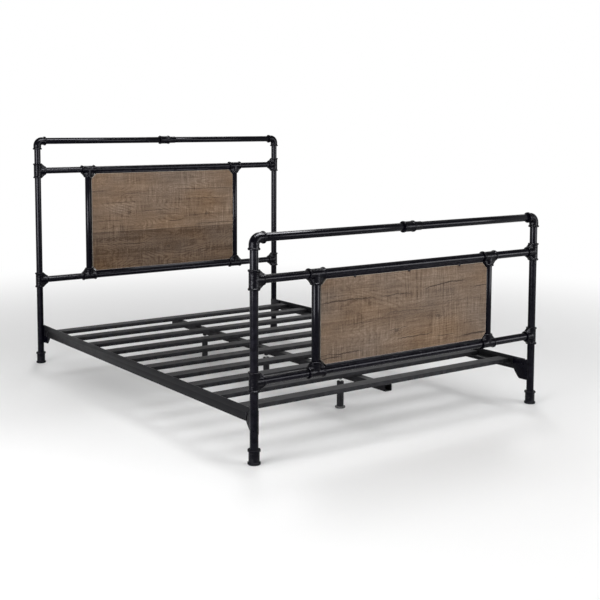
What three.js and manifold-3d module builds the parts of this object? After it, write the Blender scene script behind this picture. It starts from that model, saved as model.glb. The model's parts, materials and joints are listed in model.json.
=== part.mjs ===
// A queen-size bed frame made from black steel pipe and beaded pipe fittings.
// A tall headboard and a lower footboard of the same design each carry a wood panel. Two
// steel side rails drop over studs on the legs and hold a deck of steel slats, which a
// centre beam on three screw-in legs supports.
// Millimetres. +X to the right as seen from the foot, +Y towards the head, +Z up.
// The origin is on the floor, under the middle of the frame.

import * as THREE from 'three';
import { mergeVertices } from 'three/addons/utils/BufferGeometryUtils.js';
import Module from 'manifold-3d';

const wasm = await Module();
wasm.setup();

// ---------------------------------------------------------------- driving sizes

// Layout: leg centre to leg centre, and floor to the axis of each horizontal pipe. Both
// boards have their middle rail the same drop below the top rail.
const legSpacing = 1570;
const bedLength = 2090;
const headTopRailHeight = 1218;
const headLowRailHeight = 460;
const footTopRailHeight = 880;
const footLowRailHeight = 323;
const middleRailDrop = 161;
const postSpacing = 976;

// Pipe and clearances. A sleeve slides over a pipe with fitClearance all round, and pieces
// that rest on each other stand seatGap apart.
const pipeDiameter = 34;
const pipeWall = 1.5;
const fitClearance = 0.3;
const seatGap = 0.3;

// Flat faces on round pieces and steps along curved edges.
const pipeSides = 16;
const smallSides = 12;
const elbowBendSteps = 4;
const webSteps = 2;
const bracketCornerSteps = 3;
const slotSteps = 6;

// How far a cutting tool reaches past the face that it cuts.
const overcut = 1;

// Beaded fittings: tee, elbow, coupling and foot.
const fittingWall = 3.7;
const beadProud = 3.5;
const beadWidth = 8;
const teeRunLength = 80;
const teeBranchReach = 44;
const teeWebThickness = 26;
const teeWebHollow = 2;
const elbowReach = 46;
const elbowBendRadius = 26;
const elbowShoulderStep = 2;
const elbowSocketOverlap = 1;
const couplingLength = 62;
const adjusterLength = 40;
const adjusterWall = 1.6;
const footHeight = 60;
const footWall = 4.7;
const footBeadProud = 4;
const footBeadWidth = 9;
const footBottomThickness = 6;
const footEdgeTaper = 1.5;
const footBeadSlope = 3;

// Wood panels, the ledge that each one stands on and the hanger bar above it.
const panelThickness = 18;
const panelSideGap = 0.5;
const panelCornerCut = 30;
const ledgeHeight = 9;
const ledgeDepth = 20;
const ledgeEndGap = 4;
const hangerHeight = 6;

// Side rails, and the brackets and headed studs on the legs that carry them.
const sideRailBottom = 150;
const sideRailHeight = 60;
const sideRailThickness = 3;
const sideRailEndGap = 4;
const slatLedgeDrop = 32;
const slatLedgeWidth = 40;
const slatLedgeThickness = 3;
const bracketThickness = 6;
const bracketBite = 1;
const bracketReach = 88;
const bracketDrop = 38;
const bracketTopInset = 2;
const bracketShoulder = 8;
const bracketTaper = 32;
const bracketCorner = 8;
const studDiameter = 8;
const studHeadDiameter = 16;
const studHeadThickness = 2.5;
const studInset = 40;
const studSpacing = 30;
const studRise = 30;

// Slats: steel channels, open side down, spread evenly along the side rails' ledges.
const slatCount = 10;
const slatEndMargin = 21;
const slatWidth = 64;
const slatHeight = 18;
const slatWall = 1.2;
const slatEndGap = 1;

// Centre beam and its screw-in legs, each under the middle of an equal share of the beam.
const beamWidth = 40;
const beamHeight = 30;
const beamWall = 1.5;
const nutAcross = 22;
const nutHeight = 12;
const nutSides = 6;
const screwDiameter = 10;
const screwTravel = 10;
const screwReach = 8;
const supportLegCount = 3;
const supportLegDiameter = 32;
const supportLegWall = 1.5;
const supportFootDiameter = 48;
const supportFootThickness = 8;
const supportFootHole = 8;
const supportLegSpare = 1;

// ---------------------------------------------------------------- sizes that follow

const pipeRadius = pipeDiameter / 2;
const pipeBore = pipeRadius - pipeWall;
const sleeveBore = pipeRadius + fitClearance;
const bodyRadius = sleeveBore + fittingWall;
const beadRadius = bodyRadius + beadProud;
const legX = legSpacing / 2;
const boardY = bedLength / 2;
const postX = postSpacing / 2;
// A rail or post ends just short of the pipe that it meets inside a tee, and just short of
// the shoulder inside an elbow.
const buttEnd = pipeRadius + 2 * seatGap;
const elbowShoulder = elbowBendRadius + elbowShoulderStep;
const elbowSeat = elbowShoulder + seatGap;

// The bracket's outer face, then the side rail's web against it.
const bracketOuter = legX - pipeRadius + bracketBite;
const bracketInner = bracketOuter - bracketThickness;
const webInner = bracketOuter + seatGap;
const webOuter = webInner + sideRailThickness;
const sideRailTop = sideRailBottom + sideRailHeight;
const sideRailEnd = boardY - pipeRadius - sideRailEndGap;
const studZ = sideRailBottom + studRise;
const slatLedgeTop = sideRailTop - slatLedgeDrop;
const slatLedgeEnd = boardY - bracketReach - sideRailEndGap;
const slatBottom = slatLedgeTop + seatGap;
const slatLength = 2 * (bracketInner - slatEndGap);
const beamLength = 2 * (slatLedgeEnd - slatEndMargin);
const slatPitch = (beamLength - slatWidth) / (slatCount - 1);
const beamTop = slatBottom - seatGap;
const beamBottom = beamTop - beamHeight;
const nutBottom = beamBottom - nutHeight;
const supportLegTop = nutBottom - screwTravel - supportLegSpare;
const supportLegSpacing = (beamLength - slatWidth) / supportLegCount;

// ---------------------------------------------------------------- materials

function finish(color, roughness, metalness) {
  return new THREE.MeshStandardMaterial({ color, roughness, metalness });
}

const blackPipe = () => finish(0x17171a, 0.42, 0.6);
const blackFitting = () => finish(0x121214, 0.5, 0.6);
const blackRail = () => finish(0x141416, 0.55, 0.5);
const sawnWood = () => finish(0x7d6b5a, 0.8, 0);

// ---------------------------------------------------------------- solid helpers

// A closed three.js geometry as a solid that can be joined and cut.
function solid(geometry) {
  const bare = geometry.clone();
  bare.deleteAttribute('normal');
  bare.deleteAttribute('uv');
  const merged = mergeVertices(bare, 1e-4);
  const index = merged.index.array;
  const triangles = [];
  for (let i = 0; i < index.length; i += 3) {
    const [a, b, c] = [index[i], index[i + 1], index[i + 2]];
    if (a !== b && b !== c && a !== c) triangles.push(a, b, c);
  }
  return new wasm.Manifold(new wasm.Mesh({
    numProp: 3,
    vertProperties: new Float32Array(merged.attributes.position.array),
    triVerts: new Uint32Array(triangles),
  }));
}

function joined(first, ...others) {
  return others.reduce((whole, piece) => whole.add(piece), first);
}

function cut(body, ...tools) {
  return tools.reduce((rest, tool) => rest.subtract(tool), body);
}

// A solid back as a geometry for a mesh.
function geometryOf(body) {
  const mesh = body.getMesh();
  const geometry = new THREE.BufferGeometry();
  geometry.setAttribute('position', new THREE.Float32BufferAttribute(mesh.vertProperties, 3));
  geometry.setIndex(new THREE.BufferAttribute(new Uint32Array(mesh.triVerts), 1));
  return geometry;
}

// A profile of [radius, height] points, turned about the Z axis.
function turned(profile, sides = pipeSides) {
  const points = profile.map(([radius, height]) => new THREE.Vector2(radius, height));
  return new THREE.LatheGeometry(points, sides).rotateX(Math.PI / 2);
}

// A round bar along Z, from one height to another.
function bar(radius, from, to, sides = pipeSides) {
  return turned([[0, from], [radius, from], [radius, to], [0, to]], sides);
}

// An open pipe along Z, from one height to another.
function pipe(from, to) {
  return turned([
    [pipeBore, from],
    [pipeRadius, from],
    [pipeRadius, to],
    [pipeBore, to],
    [pipeBore, from],
  ]);
}

const alongX = (geometry) => geometry.rotateY(Math.PI / 2);

function shapeOf(outline) {
  return new THREE.Shape(outline.map(([a, b]) => new THREE.Vector2(a, b)));
}

// An outline of [y, z] points, extruded along X between two x values.
function prismX(outline, x1, x2) {
  const geometry = new THREE.ExtrudeGeometry(shapeOf(outline), {
    depth: Math.abs(x2 - x1),
    bevelEnabled: false,
  });
  const turn = new THREE.Matrix4().makeBasis(
    new THREE.Vector3(0, 1, 0),
    new THREE.Vector3(0, 0, 1),
    new THREE.Vector3(1, 0, 0),
  );
  return geometry.applyMatrix4(turn).translate(Math.min(x1, x2), 0, 0);
}

// An outline of [x, z] points, extruded along Y and centred on y = 0.
function prismY(outline, depth, holes = []) {
  const shape = shapeOf(outline);
  holes.forEach((hole) => shape.holes.push(shapeOf(hole)));
  const geometry = new THREE.ExtrudeGeometry(shape, { depth, bevelEnabled: false });
  return geometry.rotateX(Math.PI / 2).translate(0, depth / 2, 0);
}

function box(width, depth, height, x, y, z) {
  return new THREE.BoxGeometry(width, depth, height).translate(x, y, z);
}

const rectangle = (a1, b1, a2, b2) => [[a1, b1], [a2, b1], [a2, b2], [a1, b2]];

// Points along the curve that leaves one point towards a corner and bends to another point.
function swept(from, corner, to, divisions) {
  const points = [from, corner, to].map(([a, b]) => new THREE.Vector2(a, b));
  return new THREE.QuadraticBezierCurve(...points)
    .getPoints(divisions)
    .map((point) => [point.x, point.y]);
}

function addPiece(parent, name, geometry, material, x = 0, y = 0, z = 0) {
  const mesh = new THREE.Mesh(geometry, material);
  mesh.name = name;
  mesh.position.set(x, y, z);
  parent.add(mesh);
  return mesh;
}

// ---------------------------------------------------------------- beaded fittings

// Outside of a straight sleeve along Z, with a bead at each end.
function beadedBarrel(from, to) {
  return turned([
    [0, from],
    [beadRadius, from],
    [beadRadius, from + beadWidth],
    [bodyRadius, from + beadWidth],
    [bodyRadius, to - beadWidth],
    [beadRadius, to - beadWidth],
    [beadRadius, to],
    [0, to],
  ]);
}

// Outside of a socket along Z that starts inside the casting and ends in a bead.
function beadedSocket(from, to) {
  return turned([
    [0, from],
    [bodyRadius, from],
    [bodyRadius, to - beadWidth],
    [beadRadius, to - beadWidth],
    [beadRadius, to],
    [0, to],
  ]);
}

// Tee: the run lies along X and the branch points up. A cast web, slightly hollow along its
// slope, fills both corners between the beads.
function teeGeometry() {
  const half = teeRunLength / 2;
  const run = solid(alongX(beadedBarrel(-half, half)));
  const branch = solid(beadedSocket(0, teeBranchReach));
  const webFoot = half - beadWidth;
  const webTop = teeBranchReach - beadWidth;
  const slope = swept(
    [webFoot, bodyRadius],
    [(webFoot + bodyRadius) / 2 - teeWebHollow, (webTop + bodyRadius) / 2 - teeWebHollow],
    [bodyRadius, webTop],
    webSteps,
  );
  const mirrored = slope.map(([x, z]) => [-x, z]).reverse();
  const web = solid(prismY(
    [[-webFoot, 0], [webFoot, 0], ...slope, ...mirrored],
    teeWebThickness,
  ));
  const runBore = solid(alongX(bar(sleeveBore, -half - overcut, half + overcut)));
  const branchBore = solid(bar(sleeveBore, 0, teeBranchReach + overcut));
  return geometryOf(cut(joined(run, branch, web), runBore, branchBore));
}

// A quarter circle in the XZ plane, from the vertical arm to the arm along +X.
class QuarterBend extends THREE.Curve {
  getPoint(t, target = new THREE.Vector3()) {
    const angle = (t * Math.PI) / 2;
    return target.set(
      elbowBendRadius * (1 - Math.cos(angle)),
      0,
      elbowBendRadius * (Math.sin(angle) - 1),
    );
  }
}

function bend(radius) {
  const circle = new THREE.Shape().absarc(0, 0, radius, 0, 2 * Math.PI, false);
  return new THREE.ExtrudeGeometry(circle, {
    steps: elbowBendSteps,
    curveSegments: pipeSides / 2,
    extrudePath: new QuarterBend(),
  });
}

// Elbow: one socket looks down over the leg, the other along +X over the top rail.
function elbowGeometry() {
  const start = elbowBendRadius - elbowSocketOverlap;
  const down = (geometry) => geometry.rotateX(Math.PI);
  const outside = joined(
    solid(bend(bodyRadius)),
    solid(down(beadedSocket(start, elbowReach))),
    solid(alongX(beadedSocket(start, elbowReach))),
  );
  return geometryOf(cut(
    outside,
    solid(bend(pipeBore)),
    solid(down(bar(pipeBore, start, elbowShoulder + overcut))),
    solid(alongX(bar(pipeBore, start, elbowShoulder + overcut))),
    solid(down(bar(sleeveBore, elbowShoulder, elbowReach + overcut))),
    solid(alongX(bar(sleeveBore, elbowShoulder, elbowReach + overcut))),
  ));
}

// Coupling over the two halves of a top rail, with its adjusting sleeve on the right.
function couplingGeometry() {
  const half = couplingLength / 2;
  const adjuster = sleeveBore + adjusterWall;
  return alongX(turned([
    [sleeveBore, -half],
    [beadRadius, -half],
    [beadRadius, -half + beadWidth],
    [bodyRadius, -half + beadWidth],
    [bodyRadius, half - beadWidth],
    [beadRadius, half - beadWidth],
    [beadRadius, half],
    [adjuster, half],
    [adjuster, half + adjusterLength],
    [sleeveBore, half + adjusterLength],
    [sleeveBore, -half],
  ]));
}

// Foot: a deep cap with a bead at the floor and another at its mouth.
function footGeometry() {
  const wall = sleeveBore + footWall;
  const bead = wall + footBeadProud;
  return turned([
    [0, 0],
    [bead - footEdgeTaper, 0],
    [bead, footBeadWidth],
    [wall, footBeadWidth + footBeadSlope],
    [wall, footHeight - footBeadWidth],
    [bead, footHeight - footBeadWidth],
    [bead, footHeight],
    [sleeveBore, footHeight],
    [sleeveBore, footBottomThickness],
    [0, footBottomThickness],
  ]);
}

// ---------------------------------------------------------------- legs and brackets

const studPlaces = [studInset, studInset + studSpacing];

// Leg pipe with the side rail's bracket and its two headed studs welded on.
// side is +1 on the right of the bed, and inward is +1 where the bed lies towards +Y.
function legGeometry(topRailHeight, side, inward) {
  const tube = solid(bar(pipeRadius, footBottomThickness + seatGap, topRailHeight - elbowSeat));
  const low = sideRailBottom - bracketDrop;
  const high = sideRailTop - bracketTopInset;
  const corner = bracketReach - bracketTaper;
  const lowerEdge = swept(
    [corner - bracketCorner, low],
    [corner, low],
    [bracketReach, sideRailBottom + bracketShoulder],
    bracketCornerSteps,
  );
  const plate = solid(prismX(
    [[0, low], ...lowerEdge, [bracketReach, high], [0, high]].map(([y, z]) => [inward * y, z]),
    side * (bracketInner - legX),
    side * (bracketOuter - legX),
  ));
  const weld = solid(box(
    legX - bracketInner,
    pipeRadius,
    high - low,
    (side * (bracketInner - legX)) / 2,
    (inward * pipeRadius) / 2,
    (high + low) / 2,
  ));
  const inside = solid(bar(pipeBore, 0, topRailHeight));
  const headStart = webOuter + seatGap - bracketInner;
  const studs = studPlaces.flatMap((place) => [
    bar(studDiameter / 2, 0, headStart, smallSides),
    bar(studHeadDiameter / 2, headStart, headStart + studHeadThickness, smallSides),
  ].map((geometry) => solid(
    geometry.rotateY((side * Math.PI) / 2)
      .translate(side * (bracketInner - legX), inward * place, studZ),
  )));
  return geometryOf(cut(joined(tube, weld, plate, ...studs), inside));
}

// ---------------------------------------------------------------- boards

// Top rail half: from its elbow to the middle of the coupling.
function topRailGeometry() {
  return alongX(pipe(elbowSeat, legX - seatGap / 2));
}

// Rail with a flat bar welded along it, which stands out by height: up is +1 above, -1 below.
function barredRailGeometry(height, up) {
  const half = legX - buttEnd;
  const barHalf = postX - teeRunLength / 2 - ledgeEndGap;
  const flatBar = solid(box(
    2 * barHalf,
    ledgeDepth,
    pipeRadius + height,
    0,
    0,
    up * (pipeRadius + height) / 2,
  ));
  const tube = solid(alongX(bar(pipeRadius, -half, half)));
  const inside = solid(alongX(bar(pipeBore, -half - overcut, half + overcut)));
  return geometryOf(cut(joined(tube, flatBar), inside));
}

// Panel with its corners cut off round the tees.
function panelGeometry(middleRailHeight, lowRailHeight) {
  const half = postX - pipeRadius - panelSideGap;
  const low = lowRailHeight + pipeRadius + ledgeHeight + seatGap;
  const high = middleRailHeight - pipeRadius - hangerHeight - seatGap;
  const corner = panelCornerCut;
  return prismY([
    [-half + corner, low],
    [half - corner, low],
    [half, low + corner],
    [half, high - corner],
    [half - corner, high],
    [-half + corner, high],
    [-half, high - corner],
    [-half, low + corner],
  ], panelThickness);
}

// inward is +1 where the bed lies towards +Y of the board, and -1 where it lies towards -Y.
function addBoard(name, inward, topRailHeight, lowRailHeight) {
  const middleRailHeight = topRailHeight - middleRailDrop;
  const board = new THREE.Group();
  board.position.y = -inward * boardY;
  const piece = (suffix, geometry, material, x = 0, z = 0) => (
    addPiece(board, `${name}_${suffix}`, geometry, material, x, 0, z)
  );

  for (const [sideName, side] of [['left', -1], ['right', 1]]) {
    const x = side * legX;
    piece(`leg_${sideName}`, legGeometry(topRailHeight, side, inward), blackPipe(), x);
    piece(`foot_${sideName}`, footGeometry(), blackFitting(), x);
    // The elbow's open arm looks towards the middle of the board.
    const elbow = piece(`elbow_${sideName}`, elbowGeometry(), blackFitting(), x, topRailHeight);
    elbow.rotation.z = side > 0 ? Math.PI : 0;
    const topRail = piece(`top_rail_${sideName}`, topRailGeometry(), blackPipe(), x, topRailHeight);
    topRail.rotation.z = elbow.rotation.z;
    for (const [level, z] of [['middle', middleRailHeight], ['low', lowRailHeight]]) {
      const tee = piece(`${level}_tee_${sideName}`, teeGeometry(), blackFitting(), x, z);
      tee.rotation.y = (-side * Math.PI) / 2;
    }
    const upperTee = piece(
      `post_tee_upper_${sideName}`, teeGeometry(), blackFitting(), side * postX, middleRailHeight,
    );
    upperTee.rotation.x = Math.PI;
    piece(`post_tee_lower_${sideName}`, teeGeometry(), blackFitting(), side * postX, lowRailHeight);
    const post = pipe(lowRailHeight + buttEnd, middleRailHeight - buttEnd);
    piece(`post_${sideName}`, post, blackPipe(), side * postX);
  }

  piece('top_coupling', couplingGeometry(), blackFitting(), 0, topRailHeight);
  piece('middle_rail', barredRailGeometry(hangerHeight, -1), blackPipe(), 0, middleRailHeight);
  piece('low_rail', barredRailGeometry(ledgeHeight, 1), blackPipe(), 0, lowRailHeight);
  piece('panel', panelGeometry(middleRailHeight, lowRailHeight), sawnWood());
  return board;
}

// ---------------------------------------------------------------- side rails

// A slot, open at the bottom of the web, that drops over a stud and ends in a half circle.
function studSlot(y) {
  const radius = studDiameter / 2 + fitClearance;
  const mouth = sideRailBottom - overcut;
  const outline = [[y - radius, mouth], [y + radius, mouth]];
  for (let i = 0; i <= slotSteps; i += 1) {
    const angle = (i * Math.PI) / slotSteps;
    outline.push([y + radius * Math.cos(angle), studZ + radius * Math.sin(angle)]);
  }
  return outline;
}

function sideRailGeometry(side) {
  const web = solid(prismX(
    rectangle(-sideRailEnd, sideRailBottom, sideRailEnd, sideRailTop),
    side * webInner,
    side * webOuter,
  ));
  const slots = studPlaces.flatMap((place) => [-1, 1].map((end) => solid(
    prismX(
      studSlot(end * (boardY - place)),
      side * (webInner - overcut),
      side * (webOuter + overcut),
    ),
  )));
  const ledgeCentre = webInner + sideRailThickness / 2 - slatLedgeWidth / 2;
  const ledge = solid(box(
    slatLedgeWidth,
    2 * slatLedgeEnd,
    slatLedgeThickness,
    side * ledgeCentre,
    0,
    slatLedgeTop - slatLedgeThickness / 2,
  ));
  return geometryOf(joined(cut(web, ...slots), ledge));
}

// ---------------------------------------------------------------- slats and centre support

function slatGeometry() {
  const half = slatWidth / 2;
  return prismX([
    [-half, 0],
    [-half + slatWall, 0],
    [-half + slatWall, slatHeight - slatWall],
    [half - slatWall, slatHeight - slatWall],
    [half - slatWall, 0],
    [half, 0],
    [half, slatHeight],
    [-half, slatHeight],
  ], -slatLength / 2, slatLength / 2);
}

const supportPlaces = Array.from(
  { length: supportLegCount },
  (_, i) => (i - (supportLegCount - 1) / 2) * supportLegSpacing,
);

// Square tube under the slats, with a nut welded under it for each screw-in leg.
function centreBeamGeometry() {
  const half = beamWidth / 2;
  const tube = solid(prismY(
    rectangle(-half, beamBottom, half, beamTop),
    beamLength,
    [rectangle(-half + beamWall, beamBottom + beamWall, half - beamWall, beamTop - beamWall)],
  ));
  const nuts = supportPlaces.map((y) => solid(
    bar(nutAcross / 2, nutBottom, beamBottom + beamWall / 2, nutSides).translate(0, y, 0),
  ));
  const threadTop = beamBottom + beamWall + overcut;
  const threads = supportPlaces.map((y) => solid(
    bar(screwDiameter / 2 + fitClearance, nutBottom - overcut, threadTop, smallSides)
      .translate(0, y, 0),
  ));
  return geometryOf(cut(joined(tube, ...nuts), ...threads));
}

// Screw-in leg: a flat foot, a tube and the screw that goes up into the beam.
function supportLegGeometry() {
  const radius = supportLegDiameter / 2;
  const bore = radius - supportLegWall;
  const foot = supportFootDiameter / 2;
  const screwTop = beamBottom + beamWall + screwReach;
  return turned([
    [supportFootHole / 2, 0],
    [foot, 0],
    [foot, supportFootThickness],
    [radius, supportFootThickness],
    [radius, supportLegTop],
    [screwDiameter / 2, supportLegTop],
    [screwDiameter / 2, screwTop],
    [0, screwTop],
    [0, supportLegTop - supportLegWall],
    [bore, supportLegTop - supportLegWall],
    [bore, supportFootThickness],
    [supportFootHole / 2, supportFootThickness],
    [supportFootHole / 2, 0],
  ], smallSides);
}

// ---------------------------------------------------------------- the whole frame

const bedFrame = new THREE.Group();

bedFrame.add(addBoard('headboard', -1, headTopRailHeight, headLowRailHeight));
bedFrame.add(addBoard('footboard', 1, footTopRailHeight, footLowRailHeight));

addPiece(bedFrame, 'side_rail_left', sideRailGeometry(-1), blackRail());
addPiece(bedFrame, 'side_rail_right', sideRailGeometry(1), blackRail());

for (let i = 0; i < slatCount; i += 1) {
  const y = (i - (slatCount - 1) / 2) * slatPitch;
  addPiece(bedFrame, `slat_${i + 1}`, slatGeometry(), blackRail(), 0, y, slatBottom);
}

addPiece(bedFrame, 'centre_beam', centreBeamGeometry(), blackRail());
supportPlaces.forEach((y, i) => {
  addPiece(bedFrame, `support_leg_${i + 1}`, supportLegGeometry(), blackRail(), 0, y, 0);
});

export default bedFrame;
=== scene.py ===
# %% [markdown]
# # A pipe bed frame, dressed piece by piece
#
# The bed is made like plumbing: lengths of black steel pipe meet in cast fittings with
# beaded ends, and each board holds one sawn wooden panel. Flat side rails drop over studs
# on the legs and carry folded steel slats, and a beam with three screw-in legs holds up the
# middle. The measured solids are loaded first. Every piece below takes its place from them
# and then stands in for one of them, with rounder shapes and a real finish.

# %% Load the measured frame
import json
import math

import bpy
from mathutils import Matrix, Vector

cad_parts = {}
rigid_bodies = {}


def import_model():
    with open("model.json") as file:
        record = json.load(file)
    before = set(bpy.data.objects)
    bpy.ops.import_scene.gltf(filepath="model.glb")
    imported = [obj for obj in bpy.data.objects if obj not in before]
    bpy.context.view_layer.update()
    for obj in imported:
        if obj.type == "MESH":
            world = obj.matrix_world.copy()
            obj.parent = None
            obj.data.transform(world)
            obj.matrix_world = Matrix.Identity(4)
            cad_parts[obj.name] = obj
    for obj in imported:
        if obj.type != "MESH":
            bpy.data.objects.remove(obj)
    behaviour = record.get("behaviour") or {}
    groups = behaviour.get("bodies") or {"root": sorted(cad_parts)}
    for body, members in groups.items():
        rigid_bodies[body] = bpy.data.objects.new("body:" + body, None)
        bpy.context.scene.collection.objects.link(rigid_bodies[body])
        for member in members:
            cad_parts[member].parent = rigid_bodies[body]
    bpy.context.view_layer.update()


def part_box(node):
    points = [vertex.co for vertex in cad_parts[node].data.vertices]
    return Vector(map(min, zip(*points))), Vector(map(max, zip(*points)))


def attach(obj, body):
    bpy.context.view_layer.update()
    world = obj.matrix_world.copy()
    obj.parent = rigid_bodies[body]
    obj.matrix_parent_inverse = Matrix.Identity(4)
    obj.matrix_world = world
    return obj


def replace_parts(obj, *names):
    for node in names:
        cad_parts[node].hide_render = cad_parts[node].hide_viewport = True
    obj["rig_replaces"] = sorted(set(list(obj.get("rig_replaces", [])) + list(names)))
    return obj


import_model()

# %% [markdown]
# ## Reading places from the solids
#
# Blender works in metres and a maker thinks in millimetres, so one named factor turns one
# into the other. The middle of a leg's foot gives the leg's axis, the middle of a tee gives
# the height of its rail, and so on. With these few numbers for each board, nothing later
# has to be placed by eye.

# %% Find the axes of every pipe
mm = 0.001


def middle(node):
    low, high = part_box(node)
    return (low + high) / 2


def board_layout(board):
    """The places that the pieces of one board share, in metres."""
    foot = middle(f"{board}_foot_right")
    return {
        "leg_x": foot.x,
        "y": foot.y,
        "inward": 1 if foot.y < 0 else -1,
        "post_x": middle(f"{board}_post_right").x,
        "top": middle(f"{board}_top_rail_right").z,
        "middle": middle(f"{board}_middle_tee_right").z,
        "low": middle(f"{board}_low_tee_right").z,
    }


def leg_place(board, side, height=0.0):
    """The place on a leg's axis at a height, in metres."""
    return sides[side] * layouts[board]["leg_x"], layouts[board]["y"], height


layouts = {board: board_layout(board) for board in ("headboard", "footboard")}
sides = {"left": -1, "right": 1}
board_sides = [(board, side) for board in layouts for side in sides]
low_corner, high_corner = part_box("headboard_top_rail_right")
pipe_radius = (high_corner.z - low_corner.z) / 2
for board, layout in layouts.items():
    print(board, {key: round(value, 4) for key, value in layout.items()})
print("pipe radius:", round(pipe_radius / mm, 2), "mm")

# %% [markdown]
# ## The camera
#
# A product picture of a bed is taken from beyond one corner of its foot, a little above the
# top rail, with a longish lens so that the far end doesn't shrink away. Tilting the camera
# far down would make the legs lean towards each other, so it is tilted only a little, and
# lens shift does the rest of the framing, as with a studio camera.

# %% Set up the camera
tilt_down, turn_right = 5, 34.39
camera_data = bpy.data.cameras.new("product camera")
camera_data.lens = 62.52
camera_data.shift_x = 0.07
camera_data.shift_y = -0.1419
camera = bpy.data.objects.new("product camera", camera_data)
camera.location = (-2.9922, -4.2966, 1.3116)
camera.rotation_euler = (math.radians(90 - tilt_down), 0, math.radians(-turn_right))
bpy.context.scene.collection.objects.link(camera)
bpy.context.scene.camera = camera
print("camera at", tuple(round(c, 3) for c in camera.location))

# %% [markdown]
# ## Writing shader nodes as formulas
#
# Materials here are drawn from noise and arithmetic, so they need many small nodes. Each
# node's output is wrapped as a signal, which knows its node tree. Arithmetic with signals
# adds the Math nodes that do it, so that `tone - dark * 0.5` makes two of them. `add_node`
# adds any other node, sets its options and fills its inputs with values or signals.


# %% Helpers for shader nodes
class Signal:
    """The output of a node. Arithmetic with it adds Math nodes to its tree."""

    def __init__(self, socket):
        self.socket, self.tree = socket, socket.id_data

    def math(self, operation, *others, **options):
        values = dict(enumerate((self, *others)))
        return signal(self.tree, "Math", values, operation=operation, **options)

    def __add__(self, other):
        return self.math("ADD", other)

    def __sub__(self, other):
        return self.math("SUBTRACT", other)

    def __rsub__(self, other):
        return signal(self.tree, "Math", {0: other, 1: self}, operation="SUBTRACT")

    def __mul__(self, other):
        return self.math("MULTIPLY", other)

    def __truediv__(self, other):
        return self.math("DIVIDE", other)

    def __abs__(self):
        return self.math("ABSOLUTE")


def fill(inputs, values):
    """Links the signals among the values to their inputs, and sets the others."""
    for key, value in values.items():
        if isinstance(value, Signal):
            value.tree.links.new(value.socket, inputs[key])
        else:
            inputs[key].default_value = value


def add_node(tree, kind, inputs=None, **options):
    node = tree.nodes.new("ShaderNode" + kind)
    for name, value in options.items():
        setattr(node, name, value)
    fill(node.inputs, inputs or {})
    return node


def signal(tree, kind, inputs=None, output=0, **options):
    """Adds a node and gives one of its outputs, by number or by name."""
    return Signal(add_node(tree, kind, inputs, **options).outputs[output])


def axis_of(vector, axis):
    return signal(vector.tree, "SeparateXYZ", {0: vector}, axis)


def noise(place, scale, detail=2.0, roughness=0.5):
    inputs = {"Vector": place, "Scale": scale, "Detail": detail, "Roughness": roughness}
    return signal(place.tree, "TexNoise", inputs)


def streaks(place, fineness, detail=2.0, roughness=0.5):
    """Noise with its own fineness along each axis, so that it is drawn out."""
    scaled = signal(place.tree, "Mapping", {"Vector": place, "Scale": fineness})
    return noise(scaled, 1.0, detail, roughness)


def remap(value, low, high, to_low=0.0, to_high=1.0, smooth=False):
    """Turns one range of values into another and holds the ends."""
    inputs = {"Value": value, "From Min": low, "From Max": high,
              "To Min": to_low, "To Max": to_high}
    kind = "SMOOTHSTEP" if smooth else "LINEAR"
    return signal(value.tree, "MapRange", inputs, interpolation_type=kind)


def blend_colours(factor, first, second):
    inputs = {0: factor, 6: first, 7: second}
    return signal(factor.tree, "Mix", inputs, output=2, data_type="RGBA")


def bump(height, distance, **inputs):
    """Normals that lean as if the surface had this height; the distance is in metres."""
    return signal(height.tree, "Bump", {"Height": height, "Distance": distance, **inputs})


def grey(level):
    return (level, level, level, 1)


print("node helpers ready")

# %% [markdown]
# ## A plain pale studio
#
# The floor is a wide matt sheet that keeps the soft shadow of the bed. Far away from the bed
# it turns into a plain white, so that no horizon shows. The white is shown only to rays that
# come from the camera, a mirror or a glass, because a floor that glows would light the
# metal from below. The sky is white near the horizon, like studio walls, and darker
# overhead, which gives the black pipes something to mirror.

# %% Lay the floor
floor_radius, shadow_ends, white_starts = 60, 1.7, 4.7
bpy.ops.mesh.primitive_circle_add(vertices=64, radius=floor_radius, fill_type="NGON",
                                  location=(0, 0, 0))
floor = bpy.context.object
floor.name = "studio_floor"


def seen_or_mirrored(tree):
    """1 for rays from the camera and for those that a mirror or a glass sends on."""
    rays = add_node(tree, "LightPath").outputs
    mirrored = Signal(rays["Is Glossy Ray"]) + Signal(rays["Is Transmission Ray"])
    return mirrored.math("ADD", Signal(rays["Is Camera Ray"]), use_clamp=True)


floor_white = bpy.data.materials.new("studio_floor_white")
floor_white.use_nodes = True
tree = floor_white.node_tree
tree.nodes.clear()
place = signal(tree, "TexCoord", output="Object")
distance = signal(tree, "VectorMath", {0: place}, "Value", operation="LENGTH")
far_away = remap(distance, shadow_ends, white_starts, smooth=True)
matt = signal(tree, "BsdfDiffuse", {"Color": grey(0.9)})
glow = signal(tree, "Emission", {"Color": grey(1.0), "Strength": 1.0})
mixed = signal(tree, "MixShader", {0: far_away * seen_or_mirrored(tree), 1: matt, 2: glow})
add_node(tree, "OutputMaterial", {"Surface": mixed})
floor.data.materials.append(floor_white)
print("floor radius:", floor_radius, "m")

# %% [markdown]
# ## Soft boxes round the bed
#
# Black paint shows its shape only through what it mirrors, so the lamps are placed for their
# reflections. A wide soft box stands on the floor in front, to the right, and draws the pale
# line along the middle of every rail. A second one stands beyond the left end and draws the
# line down the left of every upright. A third hangs over the foot of the bed and is seen in
# reflections only, so it draws a bright line along the tops of the rails and round the bends
# but casts no shadow stripes on the floor. A distant lamp behind the bed edges the tops of
# the pipes, and a very soft one overhead fills the floor. Together they light a wall about as
# brightly as daylight lights a sheet of paper, so each colour comes out about as written.


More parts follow.
